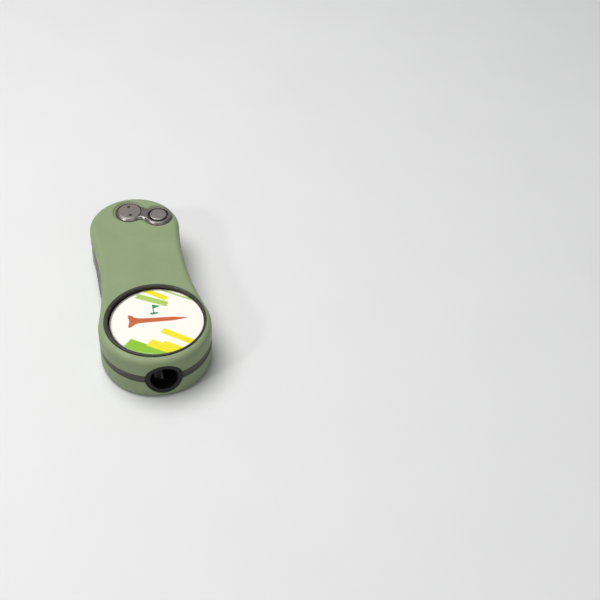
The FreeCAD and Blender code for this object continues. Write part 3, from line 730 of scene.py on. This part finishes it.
def make_dome():
    low, high = (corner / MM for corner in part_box("marker_dome"))
    disc = Disc(PRINT_PLACE, PRINT_R)
    soft = 0.3
    crown = 0.12
    bm = bmesh.new()
    profile = [(0, low.z), (0, high.z - soft)]
    profile += [(-soft * (1 - math.cos(a)), high.z - soft * (1 - math.sin(a)))
                for a in (math.radians(t) for t in range(15, 91, 15))]
    rows(bm, [lift(disc.loop(offset, 0.3), z) for offset, z in profile])
    rings = [disc.loop(-soft - k * (PRINT_R - soft) / 12, 0.3) for k in range(12)]

    def height(point):
        share = (point - PRINT_PLACE).length / (PRINT_R - soft)
        return high.z + crown * max(0, 1 - share ** 2)

    cap(bm, rings, height, lambda p: disc.distance(p) < -soft)
    cap(bm, [disc.loop(0, 0.3)], lambda p: low.z, lambda p: disc.distance(p) < 0)
    finish_piece(bm, "clear_marker_dome", "marker", "marker_dome",
                 [SLOT_MATERIALS["clear_dome"]])


# ---------------------------------------------------------------- button spring

SPRING_WIRE_R = 0.2
SPRING_TURNS = 3.0


def make_button_spring():
    """A coil whose first and last half turns lie flat."""
    low, high = (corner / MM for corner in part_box("button_spring"))
    radius = (high.x - low.x) / 2 - SPRING_WIRE_R
    bottom = low.z + SPRING_WIRE_R
    rise = high.z - low.z - 2 * SPRING_WIRE_R
    steps = 44
    sides = 10
    turns = SPRING_TURNS + 1.0
    loops = []
    for k in range(int(turns * steps) + 1):
        at = k / steps
        angle = at * math.tau
        climb = min(max((at - 0.5) / (turns - 1.0), 0.0), 1.0)
        outward = Vector((math.cos(angle), math.sin(angle), 0))
        centre = Vector((BUTTON.x, BUTTON.y, bottom + rise * climb)) + outward * radius
        ring = []
        for side in range(sides):
            t = math.tau * side / sides
            up = Vector((0, 0, SPRING_WIRE_R * math.sin(t)))
            ring.append(centre + outward * (SPRING_WIRE_R * math.cos(t)) + up)
        loops.append(ring)
    bm = bmesh.new()
    rows(bm, loops)
    for end in (loops[0], loops[-1]):
        bm.faces.new([bm.verts.new(p * MM) for p in end])
    spring = finish_piece(bm, "button_coil", "body", "button_spring",
                          [SLOT_MATERIALS["spring_steel"]], sharp=60)
    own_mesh(spring)


# ---------------------------------------------------------------- sharpener blade

def make_blade_edge_glint():
    """A raised strip along the blade's cutting edge: the ground edge is real, and its near-white matt colour
    is a painted highlight for the glint on it.
    """
    low, high = (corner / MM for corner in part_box("sharpener_blade"))
    # Painted highlight: a near-white, almost non-metallic colour that stands in for the glint on the blade's
    # edge, not the steel's own colour
    glint_paint, tree, shader = new_material("painted_glint_edge_look")
    grain = noise(tree, object_coords(tree, (0.1, 1, 1)), 0.1, 2.0)
    tree.links.new(mix_colours(tree, grain, (0.85, 0.86, 0.86), (1.0, 1.0, 1.0)), shader.inputs["Base Color"])
    tree.links.new(remap(tree, grain, 0.45, 0.6), shader.inputs["Roughness"])
    shader.inputs["Metallic"].default_value = 0.05
    edge = (0.0, 0.02), (0.03, 0.12), (0.22, 0.14), (0.30, 0.01)
    bm = bmesh.new()
    places = [low.y + 0.1 + (high.y - low.y - 0.2) * k / 24 for k in range(25)]
    loops = [[Vector((low.x + x, y, high.z + z)) for x, z in edge] for y in places]
    rows(bm, loops)
    for end in (loops[0], loops[-1]):
        bm.faces.new([bm.verts.new(p * MM) for p in end])
    finish_piece(bm, "blade_edge_painted_glint", "body", None, [glint_paint], sharp=60)


# ---------------------------------------------------------------- stage

def make_floor():
    bpy.ops.mesh.primitive_plane_add(size=3.0, location=(0, 0, 0))
    floor = bpy.context.object
    floor.name = "floor"
    material, tree, shader = new_material("floor_look")
    cloud = noise(tree, object_coords(tree), 30.0, 4.0)
    base = mix_colours(tree, cloud, (0.70, 0.70, 0.69), (0.74, 0.74, 0.73))
    tree.links.new(base, shader.inputs["Base Color"])
    shader.inputs["Roughness"].default_value = 0.7
    floor.data.materials.append(material)


def add_area(name, place, aim, size, power):
    light = bpy.data.lights.new(name, "AREA")
    light.shape = "DISK"
    light.size = size
    light.energy = power
    lamp = bpy.data.objects.new(name, light)
    bpy.context.scene.collection.objects.link(lamp)
    lamp.location = place
    lamp.rotation_euler = (Vector(aim) - Vector(place)).to_track_quat("-Z", "Y").to_euler()


def make_lights():
    add_area("top_light", (-0.15, 0.10, 0.60), (0, 0, 0), 0.50, 4.0)
    add_area("front_light", (0.10, -0.55, 0.35), (0, -0.01, 0), 0.35, 0.3)
    add_area("side_light", (-0.45, -0.24, 0.38), (0, 0, 0), 0.07, 0.6)
    world = bpy.data.worlds.new("studio")
    world.use_nodes = True
    background = world.node_tree.nodes["Background"]
    background.inputs["Color"].default_value = (0.92, 0.95, 1.0, 1)
    background.inputs["Strength"].default_value = 0.20
    bpy.context.scene.world = world


def make_camera():
    camera = bpy.data.cameras.new("camera")
    camera.lens = CAMERA_LENS
    camera.sensor_width = 36.0
    camera.clip_start = 0.005
    camera.clip_end = 10.0
    holder = bpy.data.objects.new("camera", camera)
    bpy.context.scene.collection.objects.link(holder)
    place = Vector(CAMERA_PLACE) * MM
    aim = Vector(CAMERA_AIM) * MM
    turn = (aim - place).to_track_quat("-Z", "Y").to_matrix().to_4x4()
    roll = Matrix.Rotation(math.radians(CAMERA_ROLL), 4, "Z")
    holder.matrix_world = Matrix.Translation(place) @ turn @ roll
    bpy.context.scene.camera = holder


dress_cad_nodes()
make_covers()
make_plate()
make_ring_lip()
make_marker_rim()
make_print()
make_dome()
make_button_spring()
make_blade_edge_glint()
make_floor()
make_lights()
make_camera()
bpy.context.scene.view_settings.view_transform = "Standard"
